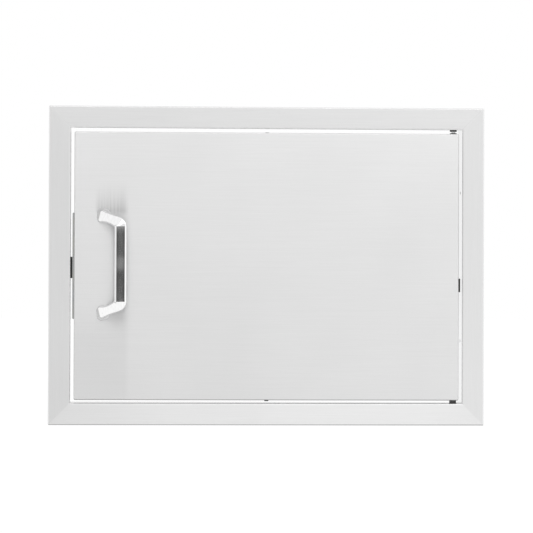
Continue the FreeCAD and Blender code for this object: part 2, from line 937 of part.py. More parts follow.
def handle_access_plugs():
    """Plastic caps in the liner's holes behind the handle screws."""
    radius = access_hole_radius - plug_fit
    plugs = []
    for z in handle_screw_heights():
        rim = door_back + plug_flange
        cap = across(plug_flange_radius, z, door_back, rim)
        cap = cap.makeFillet(plug_flange_round, edges_at(cap, DEPTH, rim))
        stem = across(radius, z, door_back - plug_depth, door_back)
        hollow = across(radius - plug_wall, z, door_back - plug_depth - past, door_back)
        plugs.append(cap.fuse(stem).removeSplitter().cut(hollow))
    return plugs


def save(name, shape):
    """Write one named node, with each of its solids separate."""
    pieces = shape if isinstance(shape, list) else [shape]
    solids = []
    for piece in pieces:
        solids.extend(piece.Solids)
    result = solids[0] if len(solids) == 1 else Part.makeCompound(solids)
    for solid in solids:
        if not solid.isValid():
            raise ValueError(name + " is not a valid solid")
    result.exportStep("parts/" + name + ".step")
    print(name, len(solids), round(result.Volume, 1))


def door_stiffener_handle_side():
    return door_stiffener(-1)


def door_stiffener_hinge_side():
    return door_stiffener(1)


NODES = [
    frame_rail_top,
    frame_rail_bottom,
    frame_stile_left,
    frame_stile_right,
    lower_pivot_pin,
    lower_thrust_washer,
    upper_jamb_bushing,
    magnet_catch_housing,
    magnet_catch_magnet,
    magnet_catch_poles,
    magnet_catch_screws,
    door_outer_panel,
    door_inner_panel,
    door_stiffener_handle_side,
    door_stiffener_hinge_side,
    upper_hinge_bracket,
    lower_hinge_bracket,
    upper_guide_bushing,
    lower_pivot_bushing,
    door_edge_pads,
    strike_plate,
    strike_plate_rivets,
    handle,
    handle_backing_plate,
    handle_screws,
    handle_washers,
    handle_access_plugs,
    upper_pivot_pin,
    upper_pin_collar,
    upper_pin_spring,
]

os.makedirs("parts", exist_ok=True)
for make in NODES:
    save(make.__name__, make())
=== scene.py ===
import bpy
import math
from mathutils import Matrix, Vector


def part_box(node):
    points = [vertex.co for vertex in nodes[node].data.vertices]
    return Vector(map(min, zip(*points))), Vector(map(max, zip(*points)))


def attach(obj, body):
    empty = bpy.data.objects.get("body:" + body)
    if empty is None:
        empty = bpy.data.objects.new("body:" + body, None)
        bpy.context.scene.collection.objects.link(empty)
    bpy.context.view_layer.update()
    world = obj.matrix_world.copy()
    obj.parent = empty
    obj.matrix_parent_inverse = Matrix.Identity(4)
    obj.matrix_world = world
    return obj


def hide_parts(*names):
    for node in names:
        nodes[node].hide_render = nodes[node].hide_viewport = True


# A stainless access door for an outdoor kitchen island, seen from the front in a white studio.
# Sizes in names and comments are millimetres, and mm() turns them into the scene's metres.

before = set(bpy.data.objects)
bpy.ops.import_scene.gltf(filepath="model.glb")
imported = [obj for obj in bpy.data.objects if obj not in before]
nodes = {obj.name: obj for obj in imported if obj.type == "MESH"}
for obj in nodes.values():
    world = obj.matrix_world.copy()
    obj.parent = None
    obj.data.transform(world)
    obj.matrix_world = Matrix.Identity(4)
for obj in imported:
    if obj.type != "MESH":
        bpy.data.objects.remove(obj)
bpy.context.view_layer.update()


def mm(length):
    """Metres for a length in millimetres."""
    return length / 1000


def mean(low, high):
    """Value half way between two."""
    return (low + high) / 2


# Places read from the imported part

door_low, door_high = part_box("door_outer_panel")
handle_low, handle_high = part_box("handle")
rail_low, rail_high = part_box("frame_rail_top")
bottom_rail_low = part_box("frame_rail_bottom")[0]
jamb_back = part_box("frame_stile_left")[1].y
door_front = door_low.y
door_back = door_high.y

# Sizes that the box of a node doesn't give

FRAME_SHEET = mm(1.5)
FLANGE_WIDTH = mm(34)
FOOT_REACH = mm(11)
FOOT_WIDTH = mm(19.5)
FOOT_LENGTH = mm(21.2)
FOOT_CORNER = mm(7)
FOOT_RIM = mm(1.2)
GRIP_WIDTH = mm(18.7)
GRIP_THICKNESS = mm(9)
GRIP_CORNER = mm(2.7)
GRIP_LENGTH = mm(116)
NECK_WIDTH = mm(15)
ROOT_WIDTH = mm(19.4)
ROOT_THICKNESS = mm(10.5)
ROOT_CORNER = mm(3.4)

opening_half_width = rail_high.x - FLANGE_WIDTH
opening_half_height = rail_high.z - FLANGE_WIDTH
flange_front = rail_low.y


# Colour and shader helpers

# Most of a pattern lies between these values
PATTERN_SPAN = (0.3, 0.7)


def linear(hex_colour):
    """Linear RGBA of an sRGB hex colour."""
    channels = [int(hex_colour[i : i + 2], 16) / 255 for i in (1, 3, 5)]
    return [c / 12.92 if c <= 0.04045 else ((c + 0.055) / 1.055) ** 2.4 for c in channels] + [1]


def feed(tree, node, inputs):
    """Set a node's inputs by name or place: another node or a socket is linked, a value is set."""
    for name, value in inputs.items():
        source = value.outputs[0] if isinstance(value, bpy.types.Node) else value
        if isinstance(source, bpy.types.NodeSocket):
            tree.links.new(source, node.inputs[name])
        else:
            node.inputs[name].default_value = source


def add_node(tree, kind, inputs=(), **settings):
    """Add a shader node with its settings. Its inputs come in order, or by name in a dictionary."""
    node = tree.nodes.new("ShaderNode" + kind)
    for name, value in settings.items():
        setattr(node, name, value)
    feed(tree, node, inputs if isinstance(inputs, dict) else dict(enumerate(inputs)))
    return node


def new_material(name, metallic, roughness):
    """Material with its shader's even values set, and the piece's own coordinates."""
    material = bpy.data.materials.new(name)
    material.use_nodes = True
    tree = material.node_tree
    shader = tree.nodes["Principled BSDF"]
    feed(tree, shader, {"Metallic": metallic, "Roughness": roughness})
    place = add_node(tree, "TexCoord").outputs["Object"]
    return material, tree, shader, place


def patches(tree, place, size, detail=2.0, roughness=0.5):
    """Uneven pattern whose patches are about a size long, all round or along each axis."""
    sizes = [size] * 3 if isinstance(size, float) else size
    spread = add_node(tree, "Mapping", {"Vector": place, "Scale": [1 / length for length in sizes]})
    inputs = {"Vector": spread, "Scale": 1.0, "Detail": detail, "Roughness": roughness}
    return add_node(tree, "TexNoise", inputs)


def tinted(tree, pattern, most, under, over):
    """Colour that goes from under towards over where a pattern is strong, by at most a share."""
    share = add_node(tree, "MapRange", [pattern, *PATTERN_SPAN, 0.0, most])
    return add_node(tree, "MixRGB", [share, under, over])


def cover(tree, shader, base, pattern, rough, depth=0.0, strength=0.3):
    """Colour a shader, and let a pattern set its roughness and, where it has depth, its relief."""
    roughness = add_node(tree, "MapRange", [pattern, *PATTERN_SPAN, *rough])
    feed(tree, shader, {"Base Color": base, "Roughness": roughness})
    if depth:
        height = {"Height": pattern, "Distance": depth, "Strength": strength}
        feed(tree, shader, {"Normal": add_node(tree, "Bump", height)})


def outline_band(tree, place, low, high, width):
    """1 along the outline of a rectangle in X and Z, falling to 0 over a width on both sides."""
    axes = add_node(tree, "SeparateXYZ", [place])
    gaps = []
    for axis in (0, 2):
        middle = mean(low[axis], high[axis])
        away = add_node(tree, "Math", [axes.outputs[axis], middle], operation="SUBTRACT")
        away = add_node(tree, "Math", [away], operation="ABSOLUTE")
        half = (high[axis] - low[axis]) / 2
        gaps.append(add_node(tree, "Math", [half, away], operation="SUBTRACT"))
    nearest = add_node(tree, "Math", gaps, operation="MINIMUM")
    nearest = add_node(tree, "Math", [nearest], operation="ABSOLUTE")
    return add_node(tree, "MapRange", [nearest, 0.0, width, 1.0, 0.0])


# Stainless finishes

# Colour of the painted shade at a sheet's ends and round the handle
PAINTED_SHADE_STEEL = "#8f8f8f"
SHADED_STEEL = "#9c9c9c"
HIDDEN_FOLD = "#c2c3c4"


def painted_shade_patch(tree, place, left, right, start, full, end, thinnest, share):
    """Share of painted shade laid over the steel, between left and right.

    It sets in from start to full, fades out by end, and thins to thinnest between its streaks.
    """
    soft = mm(4)
    shade_streak_size = (mm(3), mm(90), mm(90))
    axes = add_node(tree, "SeparateXYZ", [place])
    across, height = axes.outputs[0], axes.outputs[2]
    past_left = add_node(tree, "MapRange", [across, left - soft, left + soft, 0.0, 1.0])
    before_right = add_node(tree, "MapRange", [across, right - soft, right + soft, 1.0, 0.0])
    set_in = add_node(tree, "MapRange", [height, start, full, 0.0, 1.0])
    fading = add_node(tree, "MapRange", [height, full, end, 1.0, 0.0])
    shade_streaks = patches(tree, place, shade_streak_size)
    thinned = add_node(tree, "MapRange", [shade_streaks, *PATTERN_SPAN, thinnest, 1.0])
    shade_patch = share
    for part in (past_left, before_right, set_in, fading, fading, thinned):
        shade_patch = add_node(tree, "Math", [shade_patch, part], operation="MULTIPLY")
    return shade_patch


def belt_grain(tree, place, along):
    """Fine lines, broader streaks and soft clouds of a belt that ran along one axis."""
    # The belt's lines are about 0.1 apart, drawn 0.9 apart so that they show
    line, streak = [mm(0.9)] * 3, [mm(7)] * 3
    line[along], streak[along] = mm(70), mm(420)
    lines = patches(tree, place, line, 3.0, 0.62)
    streaks = patches(tree, place, streak)
    clouds = patches(tree, place, mm(130))
    return lines, streaks, clouds


def with_painted_shade(tree, place, along, base, low_edge, dull_ends, shade_patches):
    """Sheet's colour, with painted shade towards its ends, round the handle and along its low edge.
    """
    shade_start, shade_end = mm(1.8), mm(0.4)
    axes = add_node(tree, "SeparateXYZ", [place])
    # Painted shade, darker towards each given end
    for end, inwards, share in dull_ends:
        end_shade = add_node(tree, "MapRange", [axes.outputs[along], end, end + inwards, share, 0.0])
        base = add_node(tree, "MixRGB", [end_shade, base, linear(PAINTED_SHADE_STEEL)])
    # Painted shade for the handle's dark reflection above and below it, and broader shade lower
    # down
    for shade_patch in shade_patches:
        shaded = painted_shade_patch(tree, place, **shade_patch)
        base = add_node(tree, "MixRGB", [shaded, base, linear(PAINTED_SHADE_STEEL)])
    if low_edge is not None:
        limits = [low_edge + shade_end, low_edge + shade_start]
        in_shade = add_node(tree, "MapRange", [axes.outputs[2], *limits, 1.0, 0.0])
        base = add_node(tree, "MixRGB", [in_shade, base, linear(SHADED_STEEL)])
    return base


def brushed_stainless(
    name,
    along,
    outlines,
    dark,
    light,
    blur,
    stretch,
    gap_side="#f4f4f4",
    edge="#f4f4f4",
    low_edge=None,
    dull_ends=(),
    shade_patches=(),
):
    """304 stainless, belt-brushed along one axis: reflections are stretched across the grain."""
    material, tree, shader, place = new_material(name, 1.0, blur)
    rim_width, belt_end, fold_start = mm(1.8), mm(1.8), mm(4)
    uneven, cloudy, rubbed = 0.025, 0.02, 0.1
    lines, streaks, clouds = belt_grain(tree, place, along)
    rims = [outline_band(tree, place, *outline, rim_width) for outline in outlines]
    rim = rims[0]
    for other in rims[1:]:
        rim = add_node(tree, "Math", [rim, other], operation="MAXIMUM")
    # Painted highlight along the rims, where the bends are, in the edge colour; a darker edge
    # colour paints shade there instead. The lower roughness there is real wear.
    rim_grain = add_node(tree, "MapRange", [lines, *PATTERN_SPAN, 0.6, 1.0])
    rim_light_and_wear = add_node(tree, "Math", [rim, rim_grain], operation="MULTIPLY")
    base = tinted(tree, lines, 1.0, linear(dark), linear(light))
    base = tinted(tree, streaks, 0.25, base, linear(light))
    base = tinted(tree, clouds, 0.2, base, linear(dark))
    base = add_node(tree, "MixRGB", [rim_light_and_wear, base, linear(edge)])
    base = with_painted_shade(tree, place, along, base, low_edge, dull_ends, shade_patches)
    rough = add_node(tree, "MapRange", [lines, *PATTERN_SPAN, blur - uneven, blur + uneven])
    clouded = add_node(tree, "MapRange", [clouds, *PATTERN_SPAN, -cloudy, cloudy])
    rough = add_node(tree, "Math", [rough, clouded], operation="ADD")
    smoothed = add_node(tree, "Math", [rim_light_and_wear, rubbed], operation="MULTIPLY")
    rough = add_node(tree, "Math", [rough, smoothed], operation="SUBTRACT")
    # The belt reaches the face alone, so the sheet folded inwards keeps the smoother mill finish
    face = outlines[0][0].y
    depth = add_node(tree, "SeparateXYZ", [place]).outputs[1]
    belted = add_node(tree, "MapRange", [depth, face + belt_end, face + fold_start, 1.0, 0.0])
    # A fold's side towards the gap has a tone of its own, and a dark gap side paints shade into the
    # gap; the side that nobody sees is dull
    at_gap = add_node(tree, "MapRange", [rims[-1], 0.45, 0.8, 0.0, 1.0])
    folded = add_node(tree, "MixRGB", [at_gap, linear(HIDDEN_FOLD), linear(gap_side)])
    colour = add_node(tree, "MixRGB", [belted, folded, base])
    smoother = add_node(tree, "MapRange", [belted, 0.0, 1.0, 0.45, 1.0])
    rough = add_node(tree, "Math", [rough, smoother], operation="MULTIPLY")
    stretched = add_node(tree, "Math", [belted, stretch], operation="MULTIPLY")
    # The blur runs across the grain; a small lean keeps it defined on faces square to it
    across = [0.0, 0.08, 0.0]
    across[2 - along] = 1.0
    spaces = {"vector_type": "VECTOR", "convert_from": "OBJECT", "convert_to": "WORLD"}
    tangent = add_node(tree, "VectorTransform", {"Vector": across}, **spaces)
    # Sheet is never quite flat: a long shallow wave under the scratches
    waves = patches(tree, place, mm(260), 1.0)
    wave = add_node(tree, "Bump", {"Height": waves, "Distance": mm(0.5), "Strength": 0.1})
    scratched = {"Height": lines, "Distance": mm(0.02), "Strength": 0.08, "Normal": wave}
    feed(tree, shader, {"Base Color": colour, "Roughness": rough, "Anisotropic": stretched})
    feed(tree, shader, {"Tangent": tangent, "Normal": add_node(tree, "Bump", scratched)})
    return material


def from_weld(tree, place, column, pitch, first):
    """Distance from the nearest spot weld of an upright column."""
    axes = add_node(tree, "SeparateXYZ", [place])
    across = add_node(tree, "Math", [axes.outputs[0], column], operation="SUBTRACT")
    along = add_node(tree, "Math", [axes.outputs[2], first - pitch / 2], operation="SUBTRACT")
    along = add_node(tree, "Math", [along, pitch], operation="FLOORED_MODULO")
    along = add_node(tree, "Math", [along, pitch / 2], operation="SUBTRACT")
    squares = [add_node(tree, "Math", [way, way], operation="MULTIPLY") for way in (across, along)]
    both = add_node(tree, "Math", squares, operation="ADD")
    return add_node(tree, "Math", [both], operation="SQRT")


def rolled_stainless(name, welds=()):
    """304 stainless as rolled: satin, with faint lines and heat-tinted rings at its spot welds."""
    material, tree, shader, place = new_material(name, 1.0, 0.28)
    dent_floor, dent_end, dent_depth = mm(2.2), mm(3.2), mm(0.25)
    tint_start, tint_end, tint_share = mm(2.6), mm(6.5), 0.55
    rolling = patches(tree, place, (mm(2.5), mm(2.5), mm(300)))
    stains = patches(tree, place, mm(60), 3.0, 0.6)
    base = tinted(tree, rolling, 1.0, linear("#bcbdbe"), linear("#c9c9c9"))
    base = tinted(tree, stains, 0.35, base, linear("#aeb0b2"))
    rough = add_node(tree, "MapRange", [stains, *PATTERN_SPAN, 0.24, 0.34])
    relief = add_node(tree, "Bump", {"Height": rolling, "Distance": mm(0.02), "Strength": 0.3})
    for column, pitch, first in welds:
        radius = from_weld(tree, place, column, pitch, first)
        dent = add_node(tree, "MapRange", [radius, dent_floor, dent_end, 0.0, 1.0])
        tint = add_node(tree, "MapRange", [radius, tint_start, tint_end, 1.0, 0.0])
        heated = add_node(tree, "Math", [tint, tint_share], operation="MULTIPLY")
        base = add_node(tree, "MixRGB", [heated, base, linear("#a78f62")])
        pressed = add_node(tree, "Math", [0.6, dent], operation="SUBTRACT")
        base = add_node(tree, "MixRGB", [pressed, base, linear("#8c8a86")])
        dented = {"Height": dent, "Distance": dent_depth, "Strength": 0.7, "Normal": relief}
        relief = add_node(tree, "Bump", dented)
    feed(tree, shader, {"Base Color": base, "Roughness": rough, "Normal": relief})
    return material


def polished_stainless():
    """Cast stainless, a mirror in front, with painted shade on its back and low at the feet."""
    material, tree, shader, place = new_material("polished_cast_stainless", 1.0, 0.03)
    seat_top, seat_foot, seat_share = mm(2.6), mm(0.2), 0.72
    back_shade_blur = 0.3
    haze = patches(tree, place, (mm(3), mm(3), mm(14)), 3.0, 0.6)
    grit = patches(tree, place, mm(0.8), 3.0)
    depth = add_node(tree, "SeparateXYZ", [place]).outputs[1]
    limits = [door_front - seat_top, door_front - seat_foot]
    at_seat = add_node(tree, "MapRange", [depth, *limits, 0.0, seat_share])
    normal = add_node(tree, "SeparateXYZ", [add_node(tree, "TexCoord").outputs["Normal"]])
    facing_back = add_node(tree, "MapRange", [normal.outputs[1], 0.25, 0.6, 0.0, 1.0])
    # Painted shade: the back that faces the door and the foot next to the door are dark and rougher
    shaded_back = add_node(tree, "Math", [at_seat, facing_back], operation="MAXIMUM")
    polished = tinted(tree, haze, 1.0, linear("#f0f0f0"), linear("#f8f8f8"))
    back_shade_tone = add_node(tree, "MixRGB", [grit, linear("#646566"), linear("#7c7d7e")])
    base = add_node(tree, "MixRGB", [shaded_back, polished, back_shade_tone])
    hazy = add_node(tree, "MapRange", [haze, *PATTERN_SPAN, 0.02, 0.04])
    back_roughening = add_node(tree, "Math", [shaded_back, back_shade_blur], operation="MULTIPLY")
    rough = add_node(tree, "Math", [hazy, back_roughening], operation="ADD")
    pitted = add_node(tree, "Math", [grit, shaded_back], operation="MULTIPLY")
    relief = add_node(tree, "Bump", {"Height": pitted, "Distance": mm(0.08), "Strength": 0.4})
    feed(tree, shader, {"Base Color": base, "Roughness": rough, "Normal": relief})
    return material


def zinc_plated_steel():
    """Mild steel, barrel plated with clear zinc: grey, slightly mottled, with a tint of straw."""
    material, tree, shader, place = new_material("zinc_plated_steel", 1.0, 0.36)
    mottle = patches(tree, place, mm(4), 3.0, 0.6)
    base = tinted(tree, mottle, 1.0, linear("#b4b7ba"), linear("#c8cacb"))
    base = tinted(tree, patches(tree, place, mm(16), 1.0), 0.3, base, linear("#c2bda6"))
    cover(tree, shader, base, mottle, (0.3, 0.45), mm(0.03))
    return material


def turned_steel():
    """Stainless bar turned on a lathe: fine rings round the pin."""
    material, tree, shader, place = new_material("turned_stainless_pin", 1.0, 0.24)
    rings = patches(tree, place, (mm(40), mm(40), mm(0.35)))
    base = tinted(tree, rings, 1.0, linear("#b9babb"), linear("#cfcfcf"))
    cover(tree, shader, base, rings, (0.2, 0.32), mm(0.02))
    return material


def drawn_spring_wire():
    """Stainless spring wire: smooth, slightly darkened by stress relief."""
    material, tree, shader, place = new_material("drawn_spring_wire", 1.0, 0.22)
    oxide = patches(tree, place, mm(2), 3.0)
    base = tinted(tree, oxide, 1.0, linear("#a39c8c"), linear("#bdbab3"))
    cover(tree, shader, base, oxide, (0.18, 0.3))
    return material


def moulded_plastic(name, dark, light, rough, grain):
    """Moulded plastic or rubber with a fine spark-eroded grain and a little dust."""
    material, tree, shader, place = new_material(name, 0.0, rough)
    uneven = 0.07
    texture = patches(tree, place, grain, 2.0, 0.7)
    dust = patches(tree, place, mm(11), 3.0)
    base = tinted(tree, dust, 1.0, linear(dark), linear(light))
    cover(tree, shader, base, texture, (rough - uneven, rough + uneven), mm(0.03), 0.5)
    return material


def ground_ferrite():
    """Sintered ferrite, ground flat: charcoal grey with parallel grinding marks."""
    material, tree, shader, place = new_material("ground_ferrite", 0.0, 0.5)
    marks = patches(tree, place, (mm(0.3), mm(6), mm(6)))
    base = tinted(tree, marks, 1.0, linear("#2e2e30"), linear("#454548"))
    cover(tree, shader, base, marks, (0.42, 0.6), mm(0.02), 0.4)
    return material


def weld_metal():
    """Weld bead left as laid: silvery with straw and blue oxide."""
    material, tree, shader, place = new_material("tig_weld_bead", 1.0, 0.34)
    straw = patches(tree, place, mm(5), 3.0)
    blue = patches(tree, place, mm(9), 1.0)
    base = tinted(tree, straw, 1.0, linear("#a9a6a0"), linear("#8f8466"))
    base = tinted(tree, blue, 0.45, base, linear("#6f7a8c"))
    cover(tree, shader, base, straw, (0.28, 0.44))
    return material


# Making pieces


def start_piece():
    """Nothing selected, so that an operator acts on the new piece alone."""
    bpy.ops.object.select_all(action="DESELECT")


def piece_from(name, vertices, edges, faces):
    """New object from points, selected and active."""
    start_piece()
    mesh = bpy.data.meshes.new(name)
    mesh.from_pydata([tuple(v) for v in vertices], edges, faces)
    piece = bpy.data.objects.new(name, mesh)
    bpy.context.scene.collection.objects.link(piece)
    bpy.context.view_layer.objects.active = piece
    piece.select_set(True)
    return piece


def apply_modifier(piece, kind, **settings):
    """Add a modifier with its settings and apply it."""
    modifier = piece.modifiers.new(kind.lower(), kind)
    for name, value in settings.items():
        setattr(modifier, name, value)
    bpy.context.view_layer.objects.active = piece
    bpy.ops.object.modifier_apply(modifier=modifier.name)


def close_up(piece, smooth_angle=35):
    """Merge doubles, turn the faces outwards and smooth them by angle."""
    start_piece()
    piece.select_set(True)
    bpy.context.view_layer.objects.active = piece
    bpy.ops.object.mode_set(mode="EDIT")
    bpy.ops.mesh.select_all(action="SELECT")
    bpy.ops.mesh.remove_doubles(threshold=1e-6)
    bpy.ops.mesh.normals_make_consistent(inside=False)
    bpy.ops.object.mode_set(mode="OBJECT")
    bpy.ops.object.shade_smooth_by_angle(angle=math.radians(smooth_angle))


def dress(piece, material):
    """Give a piece one material all over."""
    piece.data.materials.clear()
    piece.data.materials.append(material)


def finish_piece(piece, body, material, slot, *stands_for):
    """Give a new piece its finish, its body and the nodes that it stands for."""
    dress(piece, material)
    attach(piece, body)
    if stands_for:
        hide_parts(*stands_for)


def turned(name, outline, place, steps):
    """Piece turned on a lathe from (radius, height) points, then put in its place."""
    points = [Vector((radius, 0, height)) for radius, height in outline]
    piece = piece_from(name, points, [(i, i + 1) for i in range(len(points) - 1)], [])
    apply_modifier(piece, "SCREW", angle=math.tau, steps=steps, render_steps=steps)
    close_up(piece)
    piece.data.transform(place)
    return piece


def facing(direction, seat):
    """Matrix that turns +Z to a direction and moves the origin to a seat."""
    return Matrix.Translation(seat) @ Vector(direction).to_track_quat("Z", "Y").to_matrix().to_4x4()


def rounded_block(name, low, high, radius=0.0, segments=3):
    """Block between two corners, with its edges rounded where a radius is given."""
    start_piece()
    bpy.ops.mesh.primitive_cube_add(size=1)
    block = bpy.context.object
    block.name = name
    block.data.transform(Matrix.Diagonal([*(high - low), 1]))
    block.data.transform(Matrix.Translation((low + high) / 2))
    if radius:
        apply_modifier(block, "BEVEL", width=radius, segments=segments, limit_method="ANGLE")
    return block


def cut_away(piece, *tools):
    """Cut the tools out of a piece and remove them."""
    for tool in tools:
        apply_modifier(piece, "BOOLEAN", operation="DIFFERENCE", object=tool, solver="EXACT")
        bpy.data.objects.remove(tool)


def join(name, pieces):
    """One piece of several, with its own mesh."""
    start_piece()
    for piece in pieces:
        piece.select_set(True)
    bpy.context.view_layer.objects.active = pieces[0]
    bpy.ops.object.join()
    pieces[0].name = name
    return pieces[0]


# The handle

OUTLINE_POINTS = 96
LEG_STEPS = 36
GRIP_STEPS = 16


def rounded_outline(wide, thick, corner):
    """Even points round a rectangle with round corners, from the middle of its right side."""
    flat_u = wide / 2 - corner
    flat_v = thick / 2 - corner
    quarter = math.pi / 2 * corner
    stretches = []
    for turn, (u, v) in enumerate(((1, 1), (-1, 1), (-1, -1), (1, -1))):
        length = 2 * (flat_u if turn % 2 else flat_v)
        stretches.append(("flat", length, (u, v), turn))
        stretches.append(("round", quarter, (u, v), turn))
    total = sum(length for _, length, _, _ in stretches)
    points = []
    for index in range(OUTLINE_POINTS):
        at = (flat_v + index * total / OUTLINE_POINTS) % total
        for kind, length, (u, v), turn in stretches:
            if at <= length:
                break
            at -= length
        corner_u, corner_v = u * flat_u, v * flat_v
        if kind == "round":
            angle = turn * math.pi / 2 + at / corner
            u_here = corner_u + corner * math.cos(angle)
            v_here = corner_v + corner * math.sin(angle)
        else:
            out_u, out_v = math.cos(turn * math.pi / 2), math.sin(turn * math.pi / 2)
            back = length - at
            u_here = corner_u + out_u * corner + out_v * back
            v_here = corner_v + out_v * corner - out_u * back
        points.append((u_here, v_here))
    return points


def eased(share):
    """0 to 1, level at both ends."""
    share = min(max(share, 0.0), 1.0)
    return share * share * (3 - 2 * share)


def leg_ring(side, t, points):
    """Outline of a leg at a share t of the curve that its four points steer."""
    s = 1 - t
    shares = (s**3, 3 * s * s * t, 3 * s * t * t, t**3)
    centre = sum((point * share for point, share in zip(points, shares)), Vector())
    steps = [after - before for before, after in zip(points, points[1:])]
    way = (steps[0] * (s * s) + steps[1] * (2 * s * t) + steps[2] * (t * t)).normalized()
    level = Vector((way.x, 0, way.z))
    lean = level.length
    level.normalize()
    front = level * way.y - Vector((0, lean, 0))
    wide = Vector((0, 1, 0)).cross(level) * side
    # The leg is narrowest at its neck, and from there widens into the grip
    neck, full = 0.38, 0.88
    before_neck = max(1 - t / neck, 0) ** 2
    width = NECK_WIDTH + (ROOT_WIDTH - NECK_WIDTH) * before_neck
    width += (GRIP_WIDTH - NECK_WIDTH) * eased((t - neck) / (full - neck))
    thick = GRIP_THICKNESS + (ROOT_THICKNESS - GRIP_THICKNESS) * s * s
    corner = GRIP_CORNER + (ROOT_CORNER - GRIP_CORNER) * before_neck
    return [centre + wide * u + front * v for u, v in rounded_outline(width, thick, corner)]


def lofted(name, rings):
    """Closed piece through rings of points, with a flat cap at each end."""
    count = len(rings[0])
    faces = [list(range(count))[::-1]]
    for row in range(len(rings) - 1):
        here, above = row * count, (row + 1) * count
        for i in range(count):
            j = (i + 1) % count
            faces.append((here + i, here + j, above + j, above + i))
    faces.append([(len(rings) - 1) * count + i for i in range(count)])
    return piece_from(name, [point for ring in rings for point in ring], [], faces)


def make_foot(seat, lean):
    """Low plate with round corners and a softened edge, flat on the door."""
    soft, steps = mm(0.7), 5
    levels = [(0, 0)]
    for step in range(steps + 1):
        turn = step / steps * math.pi / 2
        levels.append((soft * (1 - math.cos(turn)), FOOT_RIM - soft + soft * math.sin(turn)))
    spin = Matrix.Rotation(lean, 3, "Y")
    rings = []
    for inset, height in levels:
        wide, long = FOOT_WIDTH - 2 * inset, FOOT_LENGTH - 2 * inset
        outline = rounded_outline(wide, long, FOOT_CORNER - inset)
        rings.append([seat + spin @ Vector((u, -height, v)) for u, v in outline])
    return lofted("handle_foot", rings)


def make_handle():
    """Bow handle cast in one: low feet, flat legs that lean towards the hinge, and a flat grip."""
    root_aside, root_inwards = mm(0.5), mm(2.1)
    grip_end, below_seat, foot_lean = mm(0.4), mm(0.8), math.radians(7)
    foot_x = handle_low.x + FOOT_WIDTH / 2
    middle = mean(handle_low.z, handle_high.z)
    reach = (handle_high.z - handle_low.z) / 2 - FOOT_REACH
    grip_x = handle_high.x - GRIP_WIDTH / 2
    grip_y = handle_low.y + GRIP_THICKNESS / 2
    legs = []
    for side in (1, -1):
        root_z = middle + side * (reach - root_inwards)
        root = Vector((foot_x - root_aside, door_front, root_z))
        grip = Vector((grip_x, grip_y, middle + side * GRIP_LENGTH / 2))
        leaving = Vector((mm(8.6), mm(-8.8), mm(-2.1) * side))
        arriving = Vector((mm(-0.2), 0, mm(6.3) * side))
        points = [root, root + leaving, grip + arriving, grip]
        leg = [leg_ring(side, step / LEG_STEPS, points) for step in range(LEG_STEPS + 1)]
        behind_face = [point - leaving for point in leg[0]]
        legs.append([behind_face] + leg)
    upper_leg, lower_leg = legs
    drops = [GRIP_LENGTH * step / GRIP_STEPS for step in range(1, GRIP_STEPS)]
    drops = [grip_end] + drops + [GRIP_LENGTH - grip_end]
    grip_rings = [[point - Vector((0, 0, drop)) for point in upper_leg[-1]] for drop in drops]
    bow = lofted("bow_handle", upper_leg + grip_rings + lower_leg[::-1])
    bpy.ops.object.mode_set(mode="EDIT")
    bpy.ops.mesh.select_all(action="SELECT")
    seat = (0, door_front - below_seat, 0)
    bpy.ops.mesh.bisect(plane_co=seat, plane_no=(0, 1, 0), use_fill=True, clear_outer=True)
    bpy.ops.object.mode_set(mode="OBJECT")
    close_up(bow, 30)
    for side in (1, -1):
        foot = make_foot(Vector((foot_x, door_front, middle + side * reach)), foot_lean * side)
        close_up(foot)
        apply_modifier(bow, "BOOLEAN", operation="UNION", object=foot, solver="EXACT")
        bpy.data.objects.remove(foot)
    close_up(bow, 30)
    return bow


# Small turned and moulded pieces at the back

DOME_STEPS = 8


def quarter_dome(centre, wide, high, first=0):
    """(radius, height) points down a quarter of an ellipse, from above its centre to beside it."""
    radius, height = centre
    turns = [step / DOME_STEPS * math.pi / 2 for step in range(first, DOME_STEPS + 1)]
    return [(radius + wide * math.sin(turn), height + high * math.cos(turn)) for turn in turns]


def make_rivets():
    """Blind rivets in the strike plate: domed heads with the hole where the mandrel snapped off."""
    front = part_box("strike_plate")[1].y
    low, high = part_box("strike_plate_rivets")
    head, barrel, hole, hole_depth, inner_reach = mm(3.2), mm(1.6), mm(0.9), mm(0.8), mm(28)
    lip_drop, lip_end, dome_start = mm(0.05), hole + mm(0.12), hole + mm(0.2)
    bulb, bulb_end, bulb_rise, bulb_top = mm(2.5), mm(2.2), mm(0.9), mm(1)
    x = mean(low.x, high.x)
    middle = mean(low.z, high.z)
    outer_reach = (high.z - low.z) / 2 - head
    crown = high.y - front
    inner_end = low.y - front
    outline = [(0, crown - hole_depth), (hole, crown - hole_depth)]
    outline += [(hole, crown - lip_drop), (lip_end, crown)]
    outline += quarter_dome((dome_start, 0), head - dome_start, crown, 1)
    outline += [(barrel, 0), (barrel, inner_end + bulb_top)]
    outline += [(bulb, inner_end + bulb_rise), (bulb_end, inner_end), (0, inner_end)]
    rivets = []
    for reach in (-outer_reach, -inner_reach, inner_reach, outer_reach):
        seat = Vector((x, front, middle + reach))
        rivets.append(turned("blind_rivet", outline, facing((0, 1, 0), seat), 32))
    return join("strike_rivets", rivets)


